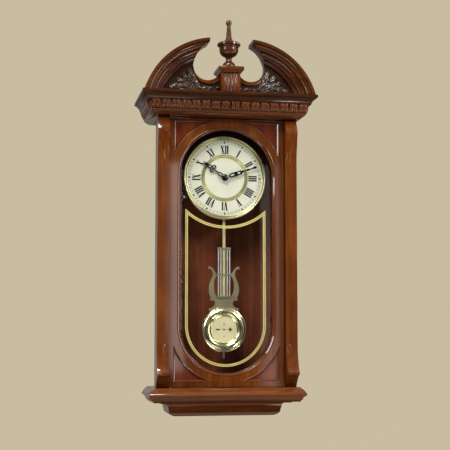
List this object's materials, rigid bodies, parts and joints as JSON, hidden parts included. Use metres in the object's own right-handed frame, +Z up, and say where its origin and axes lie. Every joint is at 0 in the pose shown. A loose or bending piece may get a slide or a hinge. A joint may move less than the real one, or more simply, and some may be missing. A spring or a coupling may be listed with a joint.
{
  "type": "schoolhouse wall clock",
  "caption": "Wooden wall clock with a broken-arch pediment, a hinged glazed door, a round dial and a swinging lyre pendulum.",
  "frame": {"origin": "centre of the round part of the keyhole in the hanger plate, on the back plane that rests on the wall", "axes": "+Z up along the case, -Y out of the wall towards the viewer, +X to the viewer's right"},
  "size_m": [0.445, 0.1964, 0.9996],
  "materials": {
    "case_wood": "glossy cherry lacquer",
    "trim_wood": "glossy cherry lacquer, dark glaze in the hollows",
    "panel_wood": "satin brown",
    "carved_wood": "dark glazed carving",
    "brass": "polished, lacquered",
    "brass_satin": "satin",
    "steel": "brushed, zinc plated",
    "bright_steel": "bright plated tube",
    "hand_black": "gloss black",
    "dial_ivory": "satin ivory",
    "glass": "clear float glass",
    "black_plastic": "matt black",
    "white_plastic": "natural acetal",
    "battery_wrap": "shrink wrap, no lettering",
    "circuit": "green solder mask",
    "copper": "enamelled wire",
    "magnet": "black ferrite"
  },
  "bodies": {
    "case": {"back_panel": "panel_wood", "hanger_plate": "steel", "wood_screws": "steel", "case_side_left": "case_wood", "case_side_right": "case_wood", "door_stops": "panel_wood", "case_bottom": "case_wood", "top_board": "case_wood", "frieze_rail": "case_wood", "crown_moulding": "trim_wood", "dentil_moulding": "trim_wood", "bed_moulding": "trim_wood", "base_moulding": "trim_wood", "base_drop": "trim_wood", "pilaster_left": "case_wood", "pilaster_right": "case_wood", "pediment_arch_left": "trim_wood", "pediment_arch_right": "trim_wood", "pediment_board_left": "case_wood", "pediment_board_right": "case_wood", "pediment_carving_left": "carved_wood", "pediment_carving_right": "carved_wood", "finial_plinth": "trim_wood", "plinth_cap": "trim_wood", "finial": "carved_wood", "hinge_pins": "steel", "catch_magnet": "magnet", "movement_bracket": "steel", "movement_case_back": "black_plastic", "movement_case_front": "black_plastic", "battery": "battery_wrap", "motor_coil": "copper", "circuit_board": "circuit", "drive_coil": "copper", "pendulum_pivot_pin": "steel", "dial_nut": "brass", "dial_plate": "dial_ivory", "bezel": "brass", "dial_steady_post": "bright_steel"},
    "door": {"door_frame": "case_wood", "corner_panels": "trim_wood", "door_glass": "glass", "glass_clips": "hand_black", "hinge_bushes": "brass_satin", "catch_strike": "hand_black"},
    "minute_train": {"minute_arbor": "steel", "minute_hand": "hand_black", "hand_cap": "hand_black"},
    "hour_train": {"hour_wheel": "white_plastic", "hour_hand": "hand_black"},
    "minute_wheel_set": {"minute_wheel": "white_plastic", "set_knob": "black_plastic"},
    "pendulum": {"pendulum_hanger": "black_plastic", "pendulum_rod": "brass", "gridiron_rods": "bright_steel", "gridiron_bars": "brass_satin", "lyre_plate": "brass_satin", "bob_shell": "brass", "bob_insert": "brass_satin", "bob_weight": "steel"}
  },
  "joints": [
    {"name": "door_hinge", "type": "hinge", "parent": "case", "child": "door", "pos_m": [-0.1415, -0.1272, -0.3086], "axis": [0, 0, -1], "range_deg": [0, 90]},
    {"name": "minute_hand_spin", "type": "hinge", "parent": "case", "child": "minute_train", "pos_m": [0, -0.09, -0.1176], "axis": [0, 1, 0], "continuous": true},
    {"name": "hour_hand_spin", "type": "hinge", "parent": "case", "child": "hour_train", "pos_m": [0, -0.09, -0.1176], "axis": [0, 1, 0], "continuous": true},
    {"name": "minute_wheel_spin", "type": "hinge", "parent": "case", "child": "minute_wheel_set", "pos_m": [0.01, -0.09, -0.1176], "axis": [0, 1, 0], "continuous": true},
    {"name": "pendulum_swing", "type": "hinge", "parent": "case", "child": "pendulum", "pos_m": [0, -0.086, -0.154], "axis": [0, 1, 0], "range_deg": [-5, 5]}
  ],
  "couplings": [
    {"joint": "hour_hand_spin", "follows": "minute_hand_spin", "ratio": 0.083333},
    {"joint": "minute_wheel_spin", "follows": "minute_hand_spin", "ratio": -0.33333}
  ]
}
